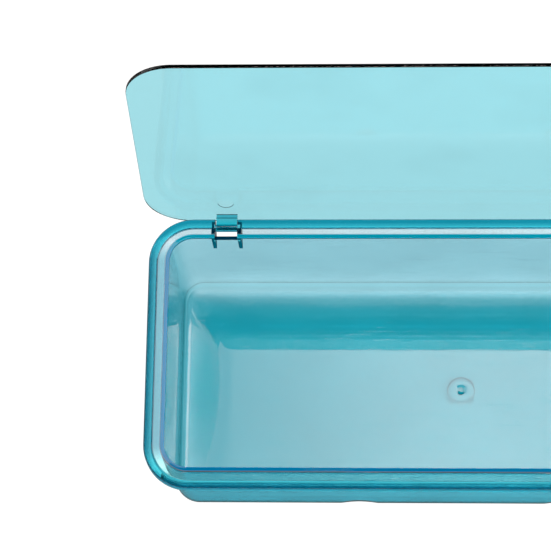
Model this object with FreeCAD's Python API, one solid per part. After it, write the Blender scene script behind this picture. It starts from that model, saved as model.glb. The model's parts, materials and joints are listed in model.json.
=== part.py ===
import FreeCAD, Part

import os

# Clear plastic pencil case with a hinged lid, in millimetres and degrees.
# X runs along the case, +Y points to the hinge side and +Z is up. The origin is the
# middle of the tray's flat underside. The lid stands open, against its stops.

# Tray
case_length = 205.0  # over the rim
case_width = 91.0  # over the rim
case_height = 52.0  # underside to the top of the rim
rim_width = 6.9  # outer edge to the cavity
cavity_radius = 7.8  # plan radius of the cavity's corners at the rim
rim_plate = 1.6
rim_lip_height = 4.5
rim_lip_wall = 2.9
rim_flat = 4.0  # level part of the rim, next to the cavity
rim_drop = 1.1  # how far the rim falls from there to its outer edge
wall = 1.3
floor = 2.0
wall_lean = 0.8  # how far each wall leans in between the rim and the underside
outer_foot_fillet = 3.0
inner_floor_fillet = 2.4

# Moulding marks under the floor
gate_recess_radius = 4.6
gate_recess_depth = 0.3
gate_pip_radius = 1.4
gate_pip_height = 0.2

# Finger scallops along the lower front edge
scallop_x = 34.0
scallop_radius = 26.0
scallop_depth = 0.9

# Hinges
hinge_x = 77.2  # each hinge's middle, from the middle of the case
hinge_inset = 2.2  # pin axis, in from the rim's back edge
hinge_depth = 4.2  # pin axis, below the top of the rim
pin_radius = 0.95
running_gap = 0.05
clip_radius = 1.95
clip_width = 6.9
notch_width = 7.4
notch_wall_cut = 2.0  # how far the wall's top is lowered across the notch
ear_wall = 1.2
ear_height = 12.4  # down from the top of the rim, at the wall
snap_slot = 1.5
back_jaw = 0.3  # how far the clip's back jaw reaches below the pin axis, with the lid shut
stop_gap = 0.15
stop_inset = 0.6  # the ledge's inner edge, out from the pin axis
stop_wall = 1.2
stop_back = 0.7  # the ledge's outer edge, in from the rim's back edge

# Lid
lid_length = 208.0
lid_depth = 91.3
lid_wall = 1.4
lid_radius = 15.4
lid_back_overhang = 0.4
lid_rest_gap = 0.05  # between the closed lid and the rim
lid_edge_fillet = 0.3
open_angle = 103.0

half_length = case_length / 2
half_width = case_width / 2
cavity_x = half_length - rim_width
cavity_y = half_width - rim_width
rim_radius = cavity_radius + rim_width
axis_y = half_width - hinge_inset
axis_z = case_height - hinge_depth
through = 1.0  # how far a cutter runs past the face it opens


def outline(half_x, half_y, radius, z):
    """A rectangle with rounded corners, as a closed wire at height z."""
    edges = []
    corners = [(1, 1), (-1, 1), (-1, -1), (1, -1)]
    bend = radius * (1 - 0.5**0.5)
    points = []
    for sx, sy in corners:
        along_x = FreeCAD.Vector(sx * (half_x - radius), sy * half_y, z)
        along_y = FreeCAD.Vector(sx * half_x, sy * (half_y - radius), z)
        middle = FreeCAD.Vector(sx * (half_x - bend), sy * (half_y - bend), z)
        first, last = (along_y, along_x) if sx == sy else (along_x, along_y)
        points.append((first, middle, last))
    for i, (first, middle, last) in enumerate(points):
        edges.append(Part.Arc(first, middle, last).toShape())
        following = points[(i + 1) % len(points)][0]
        edges.append(Part.LineSegment(last, following).toShape())
    return Part.Wire(edges)


def slab(half_x, half_y, radius, z_low, z_high):
    """An upright prism on a rounded rectangle."""
    face = Part.Face(outline(half_x, half_y, radius, z_low))
    return face.extrude(FreeCAD.Vector(0, 0, z_high - z_low))


def drafted(offset, z_low, z_high):
    """The cavity's shape grown by offset, leaning in towards the underside."""
    wires = []
    for z in (z_low, z_high):
        grow = offset - wall_lean * (case_height - z) / case_height
        wires.append(outline(cavity_x + grow, cavity_y + grow, cavity_radius + grow, z))
    return Part.makeLoft(wires, True, True)


def edges_at(shape, z):
    """The edges of a shape that lie wholly at height z."""
    return [e for e in shape.Edges if abs(e.BoundBox.ZMin - z) + abs(e.BoundBox.ZMax - z) < 1e-4]


def box(x, y, z):
    """A box between two limits along each axis."""
    size = [high - low for low, high in (x, y, z)]
    return Part.makeBox(*size, FreeCAD.Vector(x[0], y[0], z[0]))


def rod(radius, x_low, x_high, y, z):
    """A cylinder along X."""
    start = FreeCAD.Vector(x_low, y, z)
    return Part.makeCylinder(radius, x_high - x_low, start, FreeCAD.Vector(1, 0, 0))


def prism_along_x(points, x_low, x_high):
    """A straight prism on a closed outline of (y, z) points."""
    vectors = [FreeCAD.Vector(x_low, y, z) for y, z in points]
    face = Part.Face(Part.makePolygon(vectors + vectors[:1]))
    return face.extrude(FreeCAD.Vector(x_high - x_low, 0, 0))


def about_hinge(shape, angle):
    """A copy turned about the hinge axis; a positive angle closes the lid."""
    turned = shape.copy()
    turned.rotate(FreeCAD.Vector(0, axis_y, axis_z), FreeCAD.Vector(1, 0, 0), angle)
    return turned


def rim():
    """The rim: a plate that falls away outwards, with a lip turned down at its edge."""
    lip_bottom = case_height - rim_lip_height
    lip_inner = rim_width - rim_lip_wall
    outer = slab(half_length, half_width, rim_radius, lip_bottom, case_height)
    slope_top = edges_at(outer, case_height)
    outer = outer.makeChamfer(rim_drop, rim_width - rim_flat, slope_top)
    hollow = slab(
        cavity_x + lip_inner,
        cavity_y + lip_inner,
        cavity_radius + lip_inner,
        lip_bottom - through,
        case_height - rim_plate,
    )
    return outer.cut(hollow)


def shell():
    """Floor and walls with the rim, before the hinges are cut."""
    outer = drafted(wall, 0, case_height)
    outer = outer.makeFillet(outer_foot_fillet, edges_at(outer, 0))
    cavity = drafted(0, floor, case_height + through)
    cavity = cavity.makeFillet(inner_floor_fillet, edges_at(cavity, floor))
    return outer.fuse(rim()).cut(cavity)


def ear(x_low):
    """A gusset beside a hinge notch, from the rim down to the wall, which holds a pin's end."""
    wall_back = cavity_y + wall
    points = [
        (wall_back - wall / 2, case_height - rim_plate),
        (half_width - rim_lip_wall / 2, case_height - rim_plate - rim_drop / 2),
        (half_width - rim_lip_wall / 2, case_height - rim_lip_height - rim_plate),
        (wall_back - wall / 2, case_height - ear_height),
    ]
    return prism_along_x(points, x_low, x_low + ear_wall)


def stop_ledge(x_middle):
    """The ledge across a notch that the open clip's heel comes down on."""
    top = axis_z - clip_radius - stop_gap
    reach = (notch_width + ear_wall) / 2
    ledge = box(
        (x_middle - reach, x_middle + reach),
        (axis_y + stop_inset, half_width - stop_back),
        (top - stop_wall, top),
    )
    return about_hinge(ledge, 90 - open_angle)


def tray():
    """The tray with its two hinge notches, ears and stops."""
    body = shell()
    for side in (-1, 1):
        middle = side * hinge_x
        left, right = middle - notch_width / 2, middle + notch_width / 2
        wall_back = cavity_y + wall
        body = body.fuse([ear(left - ear_wall), ear(right)])
        notch = box(
            (left, right),
            (wall_back, half_width + through),
            (case_height - rim_lip_height - through, case_height + through),
        )
        wall_top = box(
            (left, right),
            (cavity_y - through, wall_back + through),
            (case_height - notch_wall_cut, case_height + through),
        )
        body = body.cut(notch).cut(wall_top).fuse(stop_ledge(middle))
        body = body.cut(rod(pin_radius, left - ear_wall, right + ear_wall, axis_y, axis_z))
        body = body.cut(finger_scallop(side * scallop_x))
    return body.cut(gate_recess()).fuse(gate_pip()).removeSplitter()


def finger_scallop(x):
    """A shallow round hollow in the foot of the front wall."""
    front = -(cavity_y + wall - wall_lean)
    centre = FreeCAD.Vector(x, front + scallop_depth - scallop_radius, 0)
    return Part.makeSphere(scallop_radius, centre)


def gate_recess():
    """The round recess under the floor that keeps the gate's stub off the table."""
    return Part.makeCylinder(
        gate_recess_radius, gate_recess_depth + through, FreeCAD.Vector(0, 0, -through)
    )


def gate_pip():
    """The stub that the moulding gate leaves."""
    return Part.makeCylinder(
        gate_pip_radius, gate_pip_height, FreeCAD.Vector(0, 0, gate_recess_depth - gate_pip_height)
    )


def hinge_pin(side):
    """The round bar from ear to ear across one notch."""
    reach = notch_width / 2 + ear_wall
    middle = side * hinge_x
    return rod(pin_radius, middle - reach, middle + reach, axis_y, axis_z)


def lid():
    """The flat lid, open."""
    low = case_height + lid_rest_gap
    plate = slab(lid_length / 2, lid_depth / 2, lid_radius, low, low + lid_wall)
    rims = edges_at(plate, low) + edges_at(plate, low + lid_wall)
    plate = plate.makeFillet(lid_edge_fillet, rims)
    plate.translate(FreeCAD.Vector(0, half_width + lid_back_overhang - lid_depth / 2, 0))
    return about_hinge(plate, -open_angle)


def hinge_clip(side):
    """The hook under the lid that snaps round the front of one pin, open."""
    left = side * hinge_x - clip_width / 2
    right = left + clip_width
    top = case_height + lid_rest_gap
    ring = rod(clip_radius, left, right, axis_y, axis_z)
    stem = box((left, right), (axis_y - clip_radius, axis_y + clip_radius), (axis_z, top))
    bore = rod(pin_radius + running_gap, left - through, right + through, axis_y, axis_z)
    slot = box(
        (left - through, right + through),
        (axis_y - snap_slot / 2, axis_y + snap_slot / 2),
        (axis_z - clip_radius - through, axis_z),
    )
    jaw_cut = box(
        (left - through, right + through),
        (axis_y, axis_y + clip_radius + through),
        (axis_z - clip_radius - through, axis_z - back_jaw),
    )
    block = ring.fuse(stem).cut(bore).cut(slot).cut(jaw_cut).removeSplitter()
    return about_hinge(block, -open_angle)


os.makedirs("parts", exist_ok=True)
nodes = {
    "tray": tray(),
    "lid": lid(),
    "hinge_pin_left": hinge_pin(-1),
    "hinge_pin_right": hinge_pin(1),
    "hinge_clip_left": hinge_clip(-1),
    "hinge_clip_right": hinge_clip(1),
}
for name, shape in nodes.items():
    shape.exportStep(f"parts/{name}.step")
    print(name, shape.isValid(), len(shape.Solids), round(shape.Volume, 1), shape.BoundBox)
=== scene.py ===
import json
import math

import bmesh
import bpy
import numpy as np
from mathutils import Matrix, Vector


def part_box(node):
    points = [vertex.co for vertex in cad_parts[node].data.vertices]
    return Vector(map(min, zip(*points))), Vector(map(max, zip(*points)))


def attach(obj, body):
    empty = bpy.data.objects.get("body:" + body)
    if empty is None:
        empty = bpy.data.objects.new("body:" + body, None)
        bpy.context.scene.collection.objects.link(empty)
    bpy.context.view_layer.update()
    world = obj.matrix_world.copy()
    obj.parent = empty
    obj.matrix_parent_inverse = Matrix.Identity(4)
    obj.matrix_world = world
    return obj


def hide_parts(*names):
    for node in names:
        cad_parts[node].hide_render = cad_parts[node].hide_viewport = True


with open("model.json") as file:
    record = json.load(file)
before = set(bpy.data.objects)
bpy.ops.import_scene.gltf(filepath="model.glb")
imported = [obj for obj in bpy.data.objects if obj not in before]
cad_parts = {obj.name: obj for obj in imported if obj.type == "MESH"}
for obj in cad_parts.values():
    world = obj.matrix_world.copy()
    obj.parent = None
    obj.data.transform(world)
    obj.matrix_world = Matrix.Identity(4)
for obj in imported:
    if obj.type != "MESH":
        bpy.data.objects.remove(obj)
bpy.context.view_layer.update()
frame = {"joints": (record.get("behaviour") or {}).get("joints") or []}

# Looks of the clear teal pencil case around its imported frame. Lengths are in metres.
mm = 0.001
tray_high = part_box("tray")[1]
lid_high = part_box("lid")[1]
hinge = frame["joints"][0]
hinge_point = Vector(hinge["pos_m"])
open_angle = math.radians(hinge["range_deg"][1])

# Tray: outside sizes come from the frame, the rest follows the moulding.
height = tray_high.z
rim_width = 6.9 * mm
cavity_x = tray_high.x - rim_width
cavity_y = tray_high.y - rim_width
cavity_radius = 7.8 * mm
wall = 1.3 * mm
wall_lean = 0.8 * mm
floor = 2.0 * mm
inner_fillet = 2.4 * mm
foot_fillet = 3.0 * mm
rim_inner_edge = 0.2 * mm
rim_shoulder = 4.0 * mm  # from the cavity to where the rim's top bends down
rim_shoulder_drop = 0.3 * mm
rim_shoulder_bend = 1.5 * mm
rim_drop = 1.1 * mm
rim_outer_edge = 0.8 * mm
rim_lip_height = 4.5 * mm
rim_lip_wall = 2.9 * mm
rim_plate = 1.6 * mm
small_edge = 0.25 * mm
lead_in = 0.1 * mm  # flat stretch of floor before each end of the section
ear_wall = 1.2 * mm
ear_height = 12.4 * mm
stop_back = 0.7 * mm
stop_wall = 1.2 * mm
stop_inset = 0.6 * mm
stop_gap = 0.15 * mm
notch_wall_cut = 2.0 * mm
notch_wall_fall = 0.18 * mm  # how far the cut wall's top falls away to the back
scallop_x = 34 * mm
scallop_radius = 26 * mm
scallop_depth = 0.9 * mm
gate_mound = 0.03 * mm
gate_mound_radius = 14 * mm
gate_mound_rings = (0.85, 0.7, 0.55, 0.4, 0.3, 0.2)  # shares of its radius
gate_ring_radius = 4.6 * mm
gate_ring_depth = 0.25 * mm
gate_pip_radius = 1.4 * mm
gate_dimple_radius = 1.9 * mm
gate_dimple_depth = 0.2 * mm
gate_dimple = ((1.0, 0.0), (0.85, 0.15), (0.6, 0.7), (0.4, 0.97), (0.2, 1.0))  # shares of both

# The floor's bow: its slope, and how far from the middle line the slope rises and falls
back_slope = math.tan(math.radians(4.0))
back_slope_full, back_slope_ends = 22.5 * mm, 27 * mm
front_slope_full, front_slope_ends = 6 * mm, 33 * mm
bow_fade = (0.86, 1.0)  # where along the half length the bow flattens out
underside_bow = 0.76  # share of the top's bow, as the floor is thickest at its gate

# Lid and its clips
clip_radius = 1.95 * mm
clip_bore = 1.0 * mm
snap_slot = 1.5 * mm
back_jaw = 0.3 * mm
ejector_radius = 2.6 * mm
ejector_inset = 8.7 * mm  # each ejector mark's middle, from the hinge axis
ejector_depth = 0.1 * mm
lid_wall = 1.4 * mm
lid_radius = 15.4 * mm
lid_depth = 91.3 * mm
lid_rest_gap = 0.05 * mm
lid_back_overhang = 0.4 * mm
lid_edge = 0.35 * mm
clip_bite = lid_wall / 8  # how far a clip reaches into the plate
ejector_cutter = ((1.1, -1.0 * mm), (1.0, 0.0), (0.94, ejector_depth))  # radius share, height
cutter_excess = mm  # how far a cutter runs past the face it opens

# Plastic: the tint of each kind of face for red, green and blue, with its clearness. Most tints
# are
# painted light and shade: light that gathers or dies inside the thick parts, which a clear shader
# alone leaves pale, the shaded table seen through walls and floor, and lighter or darker sides.
# Where there are three tints they are for the back, the front and the ends.
level_tint = (0.59, 0.695, 0.768, 1)
# Painted shade on the walls: the ends darker, the front outer wall a deeper teal.
end_wall_painted_shade = (0.05, 0.31, 0.38, 1)
inner_wall_shaded_tints = (level_tint, level_tint, end_wall_painted_shade)
outer_wall_shaded_tints = (level_tint, (0.07, 0.68, 0.82, 1), end_wall_painted_shade)
# Painted light and shade on the rim's top: paler at the back, darker at the ends.
rim_top_light_and_shade = ((0.8, 0.8, 0.85, 1), (0.9, 1.0, 1.0, 1), (0.3, 0.62, 0.72, 1))
# Painted light and shade under the rim's plate: back and front in different tints, the ends
# darker.
plate_light_and_shade = ((0.8, 0.56, 0.6, 1), (0.6, 1.0, 1.0, 1), (0.12, 0.26, 0.34, 1))
# Painted shade under the lip, darker towards its outer edge.
lip_inner_painted_shade = ((0.02, 0.42, 0.55, 1), (0.06, 0.55, 0.68, 1), (0.16, 0.28, 0.35, 1))
lip_outer_painted_shade = ((0.0005, 0.13, 0.22, 1), (0.0005, 0.13, 0.22, 1), (0.0, 0.023, 0.052, 1))
# Painted shade along the wall's top edge: a dark, nearly matt teal line.
wall_top_painted_shade = ((0.0, 0.7, 1.0, 0.1), (0.0, 0.32, 0.72, 0.05), (0.0, 0.4, 0.85, 0.05))
# Painted shade on the lip's outer side, partly matt.
lip_side_painted_shade = ((0.0, 0.25, 0.42, 0.5), (0.0, 0.5, 0.7, 0.4), (0.0, 0.25, 0.42, 0.5))
# Painted shade on the cut wall's top in the hinge notches.
notch_painted_shade = (0.0, 0.07, 0.16, 0.1)
# Painted shade on the hinge ears: dark and nearly matt.
ear_painted_shade = (0.0, 0.1, 0.235, 0.2)
# Painted shadow under the floor: the table's shade beneath the case, as a dark teal tint.
underside_painted_shadow = (0.0005, 0.17, 0.235, 1)
lid_tint = (1.0, 1.0, 1.0, 1)
clip_tint = (0.0, 1.0, 1.0, 1)

# Light leaks in under the floor as far as this from the cavity's edge, and then fades
leak_edge, leak_fade = 3.0 * mm, 2.4 * mm
end_leak = 0.25  # share of it at the two ends
end_blend = 3.0 * mm  # how far to each side of a corner the ends' share blends in

# How a face is recognised, by its place and by how upright its normal is
sliver = mm / 50
nearly_level = 0.9
floor_level = 0.85
half_level = 0.5
lip_side_level = 0.6
wall_top_level = 0.1
wall_top_depth, rim_edge_depth = mm / 4, 1.0 * mm
lip_skin = mm / 2

# Absorption of red, green and blue per millimetre, and surface
tray_absorption = (0.30, 0.045, 0.03)
lid_absorption = (0.62, 0.195, 0.145)
plastic_index = 1.55
plastic_roughness = 0.02

# Wear: slow changes of colour, smudges, and fine scratches
cloud_scale, cloud_detail, cloud_range, cloud_depth = 28.0, 2.0, (0.3, 0.7), 0.05
smudge_scale, smudge_detail, smudge_range = 60.0, 3.0, (0.45, 0.75)
smudge_roughness = 3 * plastic_roughness
scratch_sets = (  # turn, length and width of the lines in each set
    ((0.2, 0.1, 0.6), 20 * mm, 0.25 * mm),
    ((0.1, 0.3, -0.35), 30 * mm, 0.2 * mm),
)
scratch_range = (0.73, 0.78)  # the noise from where a line starts to where it is full
scratch_roughness = 0.12
scratch_depth = 0.004 * mm

# Studio
table_half_size = 3.0
table_gap = 0.05 * mm
table_albedo = 0.2
table_roughness = 0.9
table_glow = 1.0
table_glow_mirrored = 0.1
room_light = 0.003
horizon_light = 1.0
horizon_full, horizon_ends = math.radians(20), math.radians(40)
softbox_low, softbox_high = math.radians(65.5), math.radians(84.0)
softbox_distance = 2.5
softbox_length = 2.8
softbox_radiance = 6.4
softbox_colour = (1.0, 0.77, 0.72)
softbox_dim = 0.42
softbox_fade = (0.486, 0.643)  # where along its length it dims, from its right end
camera_lens, camera_sensor = 196.5, 36  # both in millimetres
camera_elevation = math.radians(73.1)
camera_distance = 0.982
camera_reach = 30
camera_aim_y = 25.72 * mm
camera_swing = math.radians(3.529)
clear_bounces, mirror_bounces, matt_bounces = 32, 12, 4

# Mesh density
lid_edge_angles = np.radians([0, 22.5, 45, 67.5, 90])
arc_steps = 14
long_steps = 64
short_steps = 26
floor_steps = 26
lid_steps = 10
bar_steps = 32
disc_steps = 48
ball_subdivisions = 6
crease_angle = math.radians(32)
face_area_weight = 60


def add_object(name, data):
    """A new object in the scene."""
    made = bpy.data.objects.new(name, data)
    bpy.context.scene.collection.objects.link(made)
    return made


def smoothstep(low, high, value):
    """0 up to low, 1 from high, and a smooth rise between them."""
    t = np.clip((value - low) / (high - low), 0, 1)
    return t * t * (3 - 2 * t)


def outline(half_x, half_y, radius):
    """Points round a rounded rectangle, the same count and order for every size."""
    points = []
    corners = [(1, -1), (1, 1), (-1, 1), (-1, -1)]
    for i, (sx, sy) in enumerate(corners):
        centre = np.array([sx * (half_x - radius), sy * (half_y - radius)])
        start = -math.pi / 2 + i * math.pi / 2
        for k in range(arc_steps):
            angle = start + k * math.pi / 2 / arc_steps
            points.append(centre + radius * np.array([math.cos(angle), math.sin(angle)]))
        steps = short_steps if i % 2 == 0 else long_steps
        angle = start + math.pi / 2
        here = centre + radius * np.array([math.cos(angle), math.sin(angle)])
        nx, ny = corners[(i + 1) % 4]
        there = np.array([nx * (half_x - radius), ny * (half_y - radius)])
        there = there + radius * np.array([math.cos(angle), math.sin(angle)])
        for k in range(steps):
            points.append(here + (there - here) * k / steps)
    return np.array(points)


def at_height(flat, z):
    """Plan points as points in space."""
    return np.column_stack([flat, np.full(len(flat), z)])


def line(first, last, steps):
    """Profile points between two others, without the ends."""
    a, b = np.array(first), np.array(last)
    return [tuple(a + (b - a) * k / steps) for k in range(1, steps)]


def lean(z):
    """How far the cavity's wall has moved in at height z."""
    return -wall_lean * (height - z) / height


def mesh_from_rings(name, rings):
    """A closed mesh: each ring joined to the next, and both ends closed to their centres."""
    count = len(rings[0])
    points = [tuple(p) for ring in rings for p in ring]
    faces = []
    for r in range(len(rings) - 1):
        for k in range(count):
            a, b = r * count + k, r * count + (k + 1) % count
            faces.append((a, b, b + count, a + count))
    for ring, flip in ((0, True), (len(rings) - 1, False)):
        centre = len(points)
        points.append(tuple(np.mean(rings[ring], axis=0)))
        for k in range(count):
            a, b = ring * count + k, ring * count + (k + 1) % count
            faces.append((b, a, centre) if flip else (a, b, centre))
    mesh = bpy.data.meshes.new(name)
    mesh.from_pydata(points, [], faces)
    work = bmesh.new()
    work.from_mesh(mesh)
    bmesh.ops.recalc_face_normals(work, faces=work.faces)
    work.to_mesh(mesh)
    work.free()
    return add_object(name, mesh)


def ramp_area(low, high, value):
    """The integral of smoothstep(low, high, v) from low to value."""
    t = np.clip((value - low) / (high - low), 0, 1)
    return (high - low) * (t**3 - t**4 / 2) + np.maximum(value - high, 0)


def settled(rise_end, fall_start, slope, y):
    """How far a floor half has dropped at y: its slope rises, holds and falls."""
    edge = cavity_y - inner_fillet
    t = np.clip(y / rise_end, 0, 1)
    risen = rise_end * (t**2 - t**3 / 3) + np.maximum(y - rise_end, 0)
    return slope * (risen - ramp_area(fall_start, edge, y))


def bow(x, y):
    """How far the floor has bowed up as it cooled, with the small mound round its gate."""
    edge_x, edge_y = cavity_x - inner_fillet, cavity_y - inner_fillet
    crest = settled(back_slope_full, back_slope_ends, back_slope, edge_y)
    front_slope = crest / settled(front_slope_full, front_slope_ends, 1, edge_y)
    back = settled(back_slope_full, back_slope_ends, back_slope, np.clip(y, 0, edge_y))
    front = settled(front_slope_full, front_slope_ends, front_slope, np.clip(-y, 0, edge_y))
    along = 1 - smoothstep(*bow_fade, np.abs(x) / edge_x)
    mound = np.cos(np.clip(np.hypot(x, y) / gate_mound_radius, 0, 1) * math.pi / 2) ** 2
    return (crest - back - front) * along + gate_mound * mound


def floor_rings(outer_ring, z, share, marks):
    """Rings from a floor's edge to its middle, with a share of the bow.

    The marks round the gate are (radius, extra height).
    """
    angles = np.arctan2(outer_ring[:, 1], outer_ring[:, 0])
    round_gate = np.column_stack([np.cos(angles), np.sin(angles)])
    inner = round_gate * gate_mound_radius
    rings = []
    for k in range(1, floor_steps + 1):
        t = k / floor_steps
        flat = outer_ring[:, :2] * (1 - t) + inner * t
        rings.append(np.column_stack([flat, z + share * bow(flat[:, 0], flat[:, 1])]))
    for radius, extra in marks:
        flat = round_gate * radius
        rings.append(np.column_stack([flat, z + extra + share * bow(flat[:, 0], flat[:, 1])]))
    return rings


def corner(before, point, after, radius, steps):
    """Profile points of the arc that rounds a corner between two straight stretches."""
    p, a, b = (np.array(v, float) for v in (point, before, after))
    u, v = (a - p) / np.linalg.norm(a - p), (b - p) / np.linalg.norm(b - p)
    half = math.acos(float(np.clip(u @ v, -1, 1))) / 2
    reach = radius / math.tan(half)
    centre = p + (u + v) / np.linalg.norm(u + v) * radius / math.sin(half)
    first, last = p + u * reach - centre, p + v * reach - centre
    start = math.atan2(first[1], first[0])
    sweep = math.atan2(last[1], last[0]) - start
    sweep = (sweep + math.pi) % (2 * math.pi) - math.pi
    angles = [start + sweep * k / steps for k in range(steps + 1)]
    return [tuple(centre + radius * np.array([math.cos(t), math.sin(t)])) for t in angles]


def rounded_profile(points):
    """A section from corner points (offset, z, radius, arc steps, steps to the next point)."""
    places = [p[:2] for p in points]
    arcs = [[places[0]]]
    for k in range(1, len(points) - 1):
        radius, steps = points[k][2:4]
        arcs.append(corner(places[k - 1], places[k], places[k + 1], radius, steps))
    arcs.append([places[-1]])
    profile = []
    for k, stretch in enumerate(arcs):
        profile += stretch
        if k + 1 < len(arcs):
            profile += line(stretch[-1], arcs[k + 1][0], points[k][4])
    return profile


def tray_profile():
    """The tray's section from the floor, up the wall, over the rim and down to the underside."""
    under = height - rim_shoulder_drop - rim_plate
    lip_bottom = height - rim_lip_height
    lip_inner = rim_width - rim_lip_wall
    return rounded_profile(
        [
            (lean(floor) - inner_fillet - lead_in, floor, 0, 0, 1),
            (lean(floor), floor, inner_fillet, 10, 20),
            (0, height, rim_inner_edge, 8, 8),
            (rim_shoulder, height - rim_shoulder_drop, rim_shoulder_bend, 4, 3),
            (rim_width, height - rim_drop, rim_outer_edge, 6, 4),
            (rim_width, lip_bottom, small_edge, 3, 3),
            (lip_inner, lip_bottom, small_edge, 3, 3),
            (lip_inner, under, small_edge, 3, 3),
            (lean(under) + wall, under, small_edge, 3, 20),
            (lean(0) + wall, 0, foot_fillet, 10, 1),
            (lean(0) + wall - foot_fillet - lead_in, 0, 0, 0, 1),
        ]
    )


def tray_shell():
    """The tray before its notches, with the gate's dimple above and its recess and stub below."""
    section = [
        at_height(outline(cavity_x + o, cavity_y + o, cavity_radius + o), z)
        for o, z in tray_profile()
    ]
    top_marks = [(gate_mound_radius * k, 0.0) for k in gate_mound_rings]
    top_marks += [(gate_dimple_radius * k, -gate_dimple_depth * d) for k, d in gate_dimple]
    ring = gate_ring_radius
    under_marks = [
        (gate_mound_radius * 0.8, 0.0),
        (gate_mound_radius * 0.6, 0.0),
        (gate_mound_radius * 0.45, 0.0),
        (ring + 0.15 * mm, 0.0),
        (ring, 0.03 * mm),
        (ring - 0.15 * mm, gate_ring_depth - 0.05 * mm),
        (ring - 0.3 * mm, gate_ring_depth),
        (ring * 0.7, gate_ring_depth),
        (ring * 0.5, gate_ring_depth),
        (gate_pip_radius + 0.15 * mm, gate_ring_depth),
        (gate_pip_radius, 0.12 * mm),
        (gate_pip_radius * 0.85, 0.0),
        (gate_pip_radius * 0.6, 0.06 * mm),
        (gate_pip_radius * 0.3, 0.12 * mm),
    ]
    top = floor_rings(section[0], floor, 1, top_marks)
    under = floor_rings(section[-1], 0.0, underside_bow, under_marks)
    return mesh_from_rings("tray_shell", top[::-1] + section + under)


def prism(name, section, x_low, x_high):
    """A closed prism along X on an outline of (y, z) points."""
    work = bmesh.new()
    ends = [[work.verts.new((x, y, z)) for y, z in section] for x in (x_low, x_high)]
    count = len(section)
    work.faces.new(ends[0])
    work.faces.new(ends[1][::-1])
    for k in range(count):
        n = (k + 1) % count
        work.faces.new((ends[0][k], ends[1][k], ends[1][n], ends[0][n]))
    bmesh.ops.recalc_face_normals(work, faces=work.faces)
    mesh = bpy.data.meshes.new(name)
    work.to_mesh(mesh)
    work.free()
    return add_object(name, mesh)


def block(name, x, y, z):
    """A box between two limits along each axis."""
    return prism(name, [(y[0], z[0]), (y[1], z[0]), (y[1], z[1]), (y[0], z[1])], x[0], x[1])


def circle(radius, y, z, steps):
    """Points round a circle."""
    angles = [2 * math.pi * k / steps for k in range(steps)]
    return [(y + radius * math.cos(a), z + radius * math.sin(a)) for a in angles]


def ball(name, centre, radius):
    """A round cutter."""
    work = bmesh.new()
    bmesh.ops.create_icosphere(work, subdivisions=ball_subdivisions, radius=radius)
    bmesh.ops.translate(work, verts=work.verts, vec=centre)
    mesh = bpy.data.meshes.new(name)
    work.to_mesh(mesh)
    work.free()
    return add_object(name, mesh)


def disc(name, x, y, z):
    """A low round cutter for an ejector mark, with slanted sides, into a face at height z."""
    flat = circle(ejector_radius, 0, 0, disc_steps)
    rings = []
    for scale, up in ejector_cutter:
        rings.append(np.array([(x + p * scale, y + q * scale, z + up) for p, q in flat]))
    return mesh_from_rings(name, rings)


def combine(base, others, operation):
    """Cuts or joins solids on a base object, and removes them."""
    for other in others:
        step = base.modifiers.new(other.name, "BOOLEAN")
        step.operation = operation
        step.solver = "EXACT"
        step.object = other
    bpy.context.view_layer.update()
    graph = bpy.context.evaluated_depsgraph_get()
    result = bpy.data.meshes.new_from_object(base.evaluated_get(graph), depsgraph=graph)
    base.modifiers.clear()
    base.data = result
    for other in others:
        bpy.data.objects.remove(other)


def finish_surface(obj):
    """Smooth shading with true creases, and normals weighted by face area."""
    obj.data.shade_smooth()
    obj.data.set_sharp_from_angle(angle=crease_angle)
    weighted = obj.modifiers.new("weighted_normals", "WEIGHTED_NORMAL")
    weighted.keep_sharp = True
    weighted.weight = face_area_weight


def turned(points, angle):
    """(y, z) points turned about the hinge."""
    c, s = math.cos(angle), math.sin(angle)
    out = []
    for y, z in points:
        dy, dz = y - hinge_point.y, z - hinge_point.z
        out.append((hinge_point.y + dy * c - dz * s, hinge_point.z + dy * s + dz * c))
    return out


def ear_section():
    """A gusset's outline from the rim down to the wall, as (y, z) points."""
    wall_middle = cavity_y + wall / 2
    out = tray_high.y - stop_back
    return [
        (wall_middle, height - rim_plate),
        (out, height - rim_plate - rim_drop / 2),
        (out, height - rim_lip_height - rim_plate),
        (wall_middle, height - ear_height),
    ]


def stop_section():
    """The ledge that the open clip's heel comes down on, as (y, z) points."""
    top = hinge_point.z - clip_radius - stop_gap
    near, far = hinge_point.y + stop_inset, tray_high.y - stop_back
    ledge = [(near, top - stop_wall), (far, top - stop_wall), (far, top), (near, top)]
    return turned(ledge, math.pi / 2 - open_angle)


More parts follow.
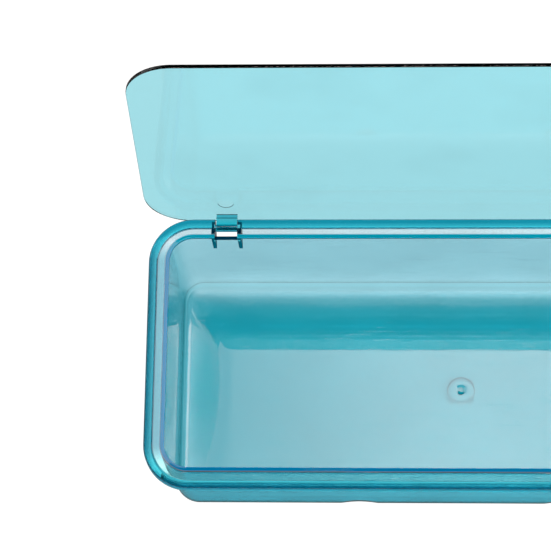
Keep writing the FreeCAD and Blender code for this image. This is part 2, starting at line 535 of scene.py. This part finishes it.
def tray():
    """The tray with its notches, ears, stops, pins and finger scallops in one closed skin."""
    body = tray_shell()
    ears, cuts, bars = [], [], []
    wall_back = cavity_y + wall
    top_z = height + cutter_excess
    notch_y = (wall_back, tray_high.y + cutter_excess)
    notch_z = (height - rim_lip_height - cutter_excess, top_z)
    front_y, back_y = cavity_y - cutter_excess, wall_back + cutter_excess
    cut_z = height - notch_wall_cut
    back_z = cut_z - notch_wall_fall
    wall_cut = [(front_y, top_z), (front_y, cut_z), (cavity_y, cut_z)]
    wall_cut += [(wall_back, back_z), (back_y, back_z), (back_y, top_z)]
    for side in ("left", "right"):
        low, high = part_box(f"hinge_pin_{side}")
        left, right = low.x + ear_wall, high.x - ear_wall
        ears.append(prism(f"ear_{side}_a", ear_section(), low.x, left))
        ears.append(prism(f"ear_{side}_b", ear_section(), right, high.x))
        cuts.append(block(f"notch_{side}", (left, right), notch_y, notch_z))
        cuts.append(prism(f"wall_top_{side}", wall_cut, left, right))
        ends = low.x + ear_wall / 2, high.x - ear_wall / 2
        pin = circle((high.z - low.z) / 2, hinge_point.y, hinge_point.z, bar_steps)
        bars.append(prism(f"stop_{side}", stop_section(), *ends))
        bars.append(prism(f"pin_{side}", pin, *ends))
    front = -(cavity_y + wall - wall_lean)
    for side in (-1, 1):
        centre = Vector((side * scallop_x, front + scallop_depth - scallop_radius, 0))
        cuts.append(ball(f"scallop_{side}", centre, scallop_radius))
    combine(body, ears, "UNION")
    combine(body, cuts, "DIFFERENCE")
    combine(body, bars, "UNION")
    body.name = "clear_tray"
    finish_surface(body)
    return body


def lid_plate(low, high):
    """The flat plate, shut, with its edges rounded over."""
    edge = [(math.sin(a), math.cos(a)) for a in lid_edge_angles]
    rounding = [(-lid_edge * (1 - across), lid_edge * (1 - up)) for across, up in edge]
    section = [(o, low + z) for o, z in rounding] + [(o, high - z) for o, z in rounding[::-1]]
    half_y = lid_depth / 2
    rings = [
        at_height(outline(lid_high.x + o, half_y + o, lid_radius + o), z) for o, z in section
    ]
    shares = [k / lid_steps for k in range(1, lid_steps)]
    lower = [rings[0] * [share, share, 1] for share in shares]
    upper = [rings[-1] * [share, share, 1] for share in shares[::-1]]
    plate = mesh_from_rings("lid_plate", lower + rings + upper)
    middle_y = tray_high.y + lid_back_overhang - half_y
    plate.data.transform(Matrix.Translation((0, middle_y, 0)))
    return plate


def lid():
    """The lid with its two clips in one closed skin, built shut and then swung open."""
    low = height + lid_rest_gap
    plate = lid_plate(low, low + lid_wall)
    y, z = hinge_point.y, hinge_point.z
    arch = [(p, q) for p, q in circle(clip_radius, y, z, disc_steps) if q <= z + sliver]
    stem_top = low + clip_bite
    clip_section = sorted(arch, key=lambda p: p[0]) + [(y + clip_radius, stem_top)]
    clip_section += [(y - clip_radius, stem_top)]
    clips, cuts = [], []
    for side in ("left", "right"):
        left, right = (corner_point.x for corner_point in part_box(f"hinge_clip_{side}"))
        clips.append(prism(f"clip_{side}", clip_section, left, right))
        wide = (left - cutter_excess, right + cutter_excess)
        slot_y = (y - snap_slot / 2, y + snap_slot / 2)
        jaw_y = (y, y + clip_radius + cutter_excess)
        cuts_low = z - clip_radius - cutter_excess
        cuts.append(prism(f"bore_{side}", circle(clip_bore, y, z, bar_steps), *wide))
        cuts.append(block(f"slot_{side}", wide, slot_y, (cuts_low, z)))
        cuts.append(block(f"jaw_{side}", wide, jaw_y, (cuts_low, z - back_jaw)))
        cuts.append(disc(f"ejector_{side}", (left + right) / 2, y - ejector_inset, low))
    combine(plate, clips, "UNION")
    combine(plate, cuts, "DIFFERENCE")
    turn = Matrix.Rotation(-open_angle, 4, "X")
    to_hinge = Matrix.Translation(hinge_point)
    plate.data.transform(to_hinge @ turn @ to_hinge.inverted())
    plate.name = "clear_lid"
    finish_surface(plate)
    return plate


def outward(places):
    """How far each point lies outside the cavity's outline at the rim, seen from above."""
    beyond = np.abs(places[:, :2]) - [cavity_x - cavity_radius, cavity_y - cavity_radius]
    return np.hypot(*np.maximum(beyond, 0).T) + np.minimum(beyond.max(axis=1), 0) - cavity_radius


def blend(first, last, share):
    """Tints between two others; their square roots are mixed, as light crosses two faces."""
    share = np.clip(share, 0, 1)[:, None]
    mixed = np.sqrt(np.array(first)) * (1 - share) + np.sqrt(np.array(last)) * share
    return mixed**2


def sided(tints, places):
    """A tint for the back, the front and the ends, blended round the corners."""
    start = cavity_y - cavity_radius
    back = smoothstep(start, cavity_y, places[:, 1])[:, None]
    front = smoothstep(start, cavity_y, -places[:, 1])[:, None]
    at_back, at_front, at_ends = (np.sqrt(np.array(tint)) for tint in tints)
    return (at_back * back + at_front * front + at_ends * (1 - back - front)) ** 2


def tray_tints_and_painted_light(places, centres, normals):
    """Each face corner's tint on the tray, mostly painted light and shade."""
    out, out_middle = outward(places), outward(centres)
    z, up = centres[:, 2], normals[:, 2]
    lip_bottom = height - rim_lip_height
    plate_bottom = height - rim_plate - rim_shoulder_drop
    tints = np.tile(level_tint, (len(places), 1))
    # Painted shade on the upright walls: darker at the ends, the front outside a deeper teal;
    # level faces keep the plain tint.
    wall_faces = (out_middle < wall + sliver) & (z < height - wall_top_depth)
    outside = out_middle > wall / 2 - wall_lean * (height - z) / height
    level = smoothstep(half_level, 1.0, np.abs(up))
    inner = blend(sided(inner_wall_shaded_tints, places), level_tint, level)
    outer = blend(sided(outer_wall_shaded_tints, places), level_tint, level)
    tints[wall_faces] = np.where(outside[:, None], outer, inner)[wall_faces]
    # Painted shadow under the floor, lightening to the plain tint near the cavity's edge, less so
    # at the ends.
    below = (z < 2 * floor) & (up < -floor_level)
    beyond = np.abs(places[:, :2]) - [cavity_x, cavity_y]
    sideways = smoothstep(-end_blend, end_blend, beyond[:, 0] - beyond[:, 1])
    leaked = np.exp(-np.maximum(-out - leak_edge, 0) / leak_fade)
    leaked = leaked * (1 - (1 - end_leak) * sideways)
    tints[below] = blend(underside_painted_shadow, level_tint, leaked)[below]
    # Painted light and shade on the rim's top, by side.
    rim_top = (z > height - 2 * rim_drop) & (up > half_level) & (out_middle > wall)
    tints[rim_top] = sided(rim_top_light_and_shade, places)[rim_top]
    # Painted shade under the lip, blended darker towards its outer edge.
    lip_low = (np.abs(z - lip_bottom) < small_edge) & (up < -half_level)
    across = smoothstep(rim_width - rim_lip_wall, rim_width - rim_outer_edge, out)
    lip = blend(sided(lip_inner_painted_shade, places), sided(lip_outer_painted_shade, places), across)
    tints[lip_low] = lip[lip_low]
    # Painted light and shade under the rim's plate.
    plate_low = (np.abs(z - plate_bottom) < small_edge) & (up < -half_level)
    tints[plate_low] = sided(plate_light_and_shade, places)[plate_low]
    # Painted shade: a dark, nearly matt line along the wall's top edge.
    wall_top = (z > height - rim_edge_depth) & (up > wall_top_level) & (out < wall)
    tints[wall_top] = sided(wall_top_painted_shade, places)[wall_top]
    # Painted shade on the lip's outer side.
    lip_side = (z > lip_bottom) & (np.abs(up) < lip_side_level) & (out > rim_width - lip_skin)
    tints[lip_side] = sided(lip_side_painted_shade, places)[lip_side]
    pin_low, pin_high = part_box("hinge_pin_right")
    from_hinge = np.abs(np.abs(centres[:, 0]) - (pin_low.x + pin_high.x) / 2)
    half_notch = (pin_high.x - pin_low.x) / 2 - ear_wall
    beside = np.abs(from_hinge - half_notch - ear_wall / 2) < ear_wall / 2 + sliver
    under_rim = (z < plate_bottom) & (out_middle > wall + sliver)
    sideways_face = np.abs(normals[:, 0]) > nearly_level
    ear = beside & under_rim & (sideways_face | (z < lip_bottom - small_edge))
    at_back = centres[:, 1] > 0
    # Painted shade on the ears.
    tints[ear & at_back] = ear_painted_shade
    # Painted shade on the cut wall's top in the notches.
    cut = (from_hinge < half_notch) & at_back & (out_middle < wall) & (up > nearly_level)
    tints[cut & (np.abs(z - height + notch_wall_cut) < small_edge)] = notch_painted_shade
    return tints


def lid_tints(places, _centres, _normals):
    """Each face corner's tint on the open lid: the clips are on the hinge's side of its plate."""
    across = np.array([0, math.sin(open_angle), math.cos(open_angle)])
    away = (places - np.array(hinge_point)) @ across
    clip = away < height + lid_rest_gap - hinge_point.z - sliver
    return np.where(clip[:, None], clip_tint, lid_tint)


def paint(obj, tints_of):
    """Stores the tint, painted light and shade included, and the clearness of each face corner."""
    mesh = obj.data
    places = np.empty(len(mesh.vertices) * 3)
    centres, normals = np.empty(len(mesh.polygons) * 3), np.empty(len(mesh.polygons) * 3)
    mesh.vertices.foreach_get("co", places)
    mesh.polygons.foreach_get("center", centres)
    mesh.polygons.foreach_get("normal", normals)
    vertex, sides = np.empty(len(mesh.loops), int), np.empty(len(mesh.polygons), int)
    mesh.loops.foreach_get("vertex_index", vertex)
    mesh.polygons.foreach_get("loop_total", sides)
    at_corners = places.reshape(-1, 3)[vertex]
    of_faces = [np.repeat(v.reshape(-1, 3), sides, axis=0) for v in (centres, normals)]
    tints = tints_of(at_corners, *of_faces)
    layer = mesh.attributes.new("tint_and_painted_light", "FLOAT_COLOR", "CORNER")
    layer.data.foreach_set("color", tints.ravel())


def node(tree, kind, **inputs):
    """A shader node with some of its inputs set."""
    made = tree.nodes.new(kind)
    for name, value in inputs.items():
        made.inputs[name.replace("_", " ")].default_value = value
    return made


def remap(tree, source, low, high, to_low, to_high):
    """A value's range mapped onto another, clamped."""
    ramp = node(tree, "ShaderNodeMapRange", From_Min=low, From_Max=high)
    ramp.inputs["To Min"].default_value = to_low
    ramp.inputs["To Max"].default_value = to_high
    tree.links.new(source, ramp.inputs["Value"])
    return ramp.outputs[0]


def scratches(tree, place, turn, length, width):
    """Thin faint lines in one direction, 1 on a line and 0 elsewhere."""
    scale = (1 / length, 1 / width, 1 / width)
    stretch = node(tree, "ShaderNodeMapping", Rotation=turn, Scale=scale)
    tree.links.new(place, stretch.inputs["Vector"])
    streaks = node(tree, "ShaderNodeTexNoise", Scale=1.0, Detail=1.0)
    tree.links.new(stretch.outputs[0], streaks.inputs["Vector"])
    return remap(tree, streaks.outputs[0], *scratch_range, 0, 1)


def clear_plastic(name, absorption):
    """Clear moulded plastic: a tint on each face, with painted light and shade, and absorption per
    millimetre of depth.
    """
    material = bpy.data.materials.new(name)
    material.use_nodes = True
    tree = material.node_tree
    shader = tree.nodes["Principled BSDF"]
    tint = tree.nodes.new("ShaderNodeAttribute")
    tint.attribute_name = "tint_and_painted_light"
    tree.links.new(tint.outputs["Alpha"], shader.inputs["Transmission Weight"])
    place = tree.nodes.new("ShaderNodeTexCoord").outputs["Object"]
    cloud = node(tree, "ShaderNodeTexNoise", Scale=cloud_scale, Detail=cloud_detail)
    tree.links.new(place, cloud.inputs["Vector"])
    shade = tree.nodes.new("ShaderNodeVectorMath")
    shade.operation = "SCALE"
    tree.links.new(tint.outputs["Color"], shade.inputs[0])
    density = remap(tree, cloud.outputs[0], *cloud_range, 1 - cloud_depth, 1 + cloud_depth)
    tree.links.new(density, shade.inputs["Scale"])
    tree.links.new(shade.outputs[0], shader.inputs["Base Color"])
    smudge = node(tree, "ShaderNodeTexNoise", Scale=smudge_scale, Detail=smudge_detail)
    tree.links.new(place, smudge.inputs["Vector"])
    worn = remap(tree, smudge.outputs[0], *smudge_range, plastic_roughness, smudge_roughness)
    lines = tree.nodes.new("ShaderNodeMath")
    lines.operation = "MAXIMUM"
    for k, sizes in enumerate(scratch_sets):
        tree.links.new(scratches(tree, place, *sizes), lines.inputs[k])
    rough = tree.nodes.new("ShaderNodeMath")
    rough.operation = "MULTIPLY_ADD"
    rough.inputs[1].default_value = scratch_roughness
    tree.links.new(lines.outputs[0], rough.inputs[0])
    tree.links.new(worn, rough.inputs[2])
    tree.links.new(rough.outputs[0], shader.inputs["Roughness"])
    groove = node(tree, "ShaderNodeBump", Strength=1.0, Distance=scratch_depth)
    groove.invert = True
    tree.links.new(lines.outputs[0], groove.inputs["Height"])
    tree.links.new(groove.outputs[0], shader.inputs["Normal"])
    shader.inputs["IOR"].default_value = plastic_index
    volume = tree.nodes.new("ShaderNodeVolumeAbsorption")
    strongest = max(absorption)
    volume.inputs["Density"].default_value = strongest / mm
    volume.inputs["Color"].default_value = (*[1 - a / strongest for a in absorption], 1)
    tree.links.new(volume.outputs["Volume"], tree.nodes["Material Output"].inputs["Volume"])
    return material


def table():
    """A plain white table, bright enough that the case throws only a faint shadow on it."""
    mesh = bpy.data.meshes.new("table")
    ways = ((-1, -1), (1, -1), (1, 1), (-1, 1))
    points = [(x * table_half_size, y * table_half_size, 0) for x, y in ways]
    mesh.from_pydata(points, [], [(0, 1, 2, 3)])
    top = add_object("table", mesh)
    top.location.z = -table_gap
    white = bpy.data.materials.new("table_white")
    white.use_nodes = True
    tree = white.node_tree
    shader = tree.nodes["Principled BSDF"]
    shader.inputs["Base Color"].default_value = (table_albedo,) * 3 + (1,)
    shader.inputs["Roughness"].default_value = table_roughness
    shader.inputs["Specular IOR Level"].default_value = 0
    shader.inputs["Emission Color"].default_value = (1, 1, 1, 1)
    rays = tree.nodes.new("ShaderNodeLightPath")
    mirrored = tree.nodes.new("ShaderNodeMath")
    mirrored.operation = "SUBTRACT"
    tree.links.new(rays.outputs["Is Glossy Ray"], mirrored.inputs[0])
    tree.links.new(rays.outputs["Is Transmission Ray"], mirrored.inputs[1])
    glow = tree.nodes.new("ShaderNodeMapRange")
    glow.inputs["To Min"].default_value = table_glow
    glow.inputs["To Max"].default_value = table_glow_mirrored
    tree.links.new(mirrored.outputs[0], glow.inputs["Value"])
    tree.links.new(glow.outputs[0], shader.inputs["Emission Strength"])
    mesh.materials.append(white)


def surroundings():
    """A dim room with a white horizon."""
    world = bpy.data.worlds.new("studio_world")
    bpy.context.scene.world = world
    world.use_nodes = True
    tree = world.node_tree
    coord = tree.nodes.new("ShaderNodeTexCoord")
    split = tree.nodes.new("ShaderNodeSeparateXYZ")
    ramp = tree.nodes.new("ShaderNodeMapRange")
    ramp.interpolation_type = "SMOOTHSTEP"
    ramp.inputs["From Min"].default_value = math.sin(horizon_full)
    ramp.inputs["From Max"].default_value = math.sin(horizon_ends)
    ramp.inputs["To Min"].default_value = horizon_light
    ramp.inputs["To Max"].default_value = room_light
    tree.links.new(coord.outputs["Generated"], split.inputs[0])
    tree.links.new(split.outputs["Z"], ramp.inputs["Value"])
    tree.nodes["Background"].inputs["Color"].default_value = (1, 1, 1, 1)
    tree.links.new(ramp.outputs[0], tree.nodes["Background"].inputs["Strength"])


def softbox():
    """A long soft light above and behind the case, dimmer over its left part."""
    light = bpy.data.lights.new("softbox", "AREA")
    light.shape = "RECTANGLE"
    light.color = softbox_colour
    low = Vector((0, math.cos(softbox_low), math.sin(softbox_low))) * softbox_distance
    high = Vector((0, math.cos(softbox_high), math.sin(softbox_high))) * softbox_distance
    light.size, light.size_y = softbox_length, (high - low).length
    light.energy = softbox_radiance * math.pi * light.size * light.size_y
    light.use_nodes = True
    tree = light.node_tree
    place = tree.nodes.new("ShaderNodeNewGeometry")
    split = tree.nodes.new("ShaderNodeSeparateXYZ")
    tree.links.new(place.outputs["Parametric"], split.inputs[0])
    ramp = tree.nodes.new("ShaderNodeMapRange")
    ramp.interpolation_type = "SMOOTHSTEP"
    ramp.inputs["From Min"].default_value = softbox_fade[0]
    ramp.inputs["From Max"].default_value = softbox_fade[1]
    ramp.inputs["To Min"].default_value = 1.0
    ramp.inputs["To Max"].default_value = softbox_dim
    tree.links.new(split.outputs["X"], ramp.inputs["Value"])
    tree.links.new(ramp.outputs[0], tree.nodes["Emission"].inputs["Strength"])
    lamp = add_object("softbox", light)
    lamp.location = (low + high) / 2
    lamp.rotation_euler = (-lamp.location).to_track_quat("-Z", "Y").to_euler()
    lamp.visible_camera = False


def camera():
    """The photo's view, with its aim turned aside so that the case sits where the photo has it."""
    data = bpy.data.cameras.new("camera")
    data.lens = camera_lens
    data.sensor_width = camera_sensor
    data.clip_end = camera_reach
    view = add_object("camera", data)
    back = Vector((0, -math.cos(camera_elevation), math.sin(camera_elevation)))
    place = Vector((0, camera_aim_y, height)) + camera_distance * back
    facing = (-back).to_track_quat("-Z", "Y").to_matrix()
    swing = Matrix.Rotation(camera_swing, 3, "Y")
    view.matrix_world = Matrix.Translation(place) @ (facing @ swing).to_4x4()
    bpy.context.scene.camera = view


tray_object = tray()
paint(tray_object, tray_tints_and_painted_light)
tray_object.data.materials.clear()
tray_object.data.materials.append(clear_plastic("tray_plastic", tray_absorption))
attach(tray_object, "root")
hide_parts("tray", "hinge_pin_left", "hinge_pin_right")

lid_object = lid()
paint(lid_object, lid_tints)
lid_object.data.materials.clear()
lid_object.data.materials.append(clear_plastic("lid_plastic", lid_absorption))
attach(lid_object, "lid")
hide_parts("lid", "hinge_clip_left", "hinge_clip_right")

table()
surroundings()
softbox()
camera()

cycles = bpy.context.scene.cycles
cycles.max_bounces = clear_bounces
cycles.transmission_bounces = clear_bounces
cycles.glossy_bounces = mirror_bounces
cycles.diffuse_bounces = matt_bounces
bpy.context.scene.view_settings.view_transform = "Standard"


def corners(box):
    """A box's two corners as plain lists."""
    return [[float(v) for v in point] for point in box]
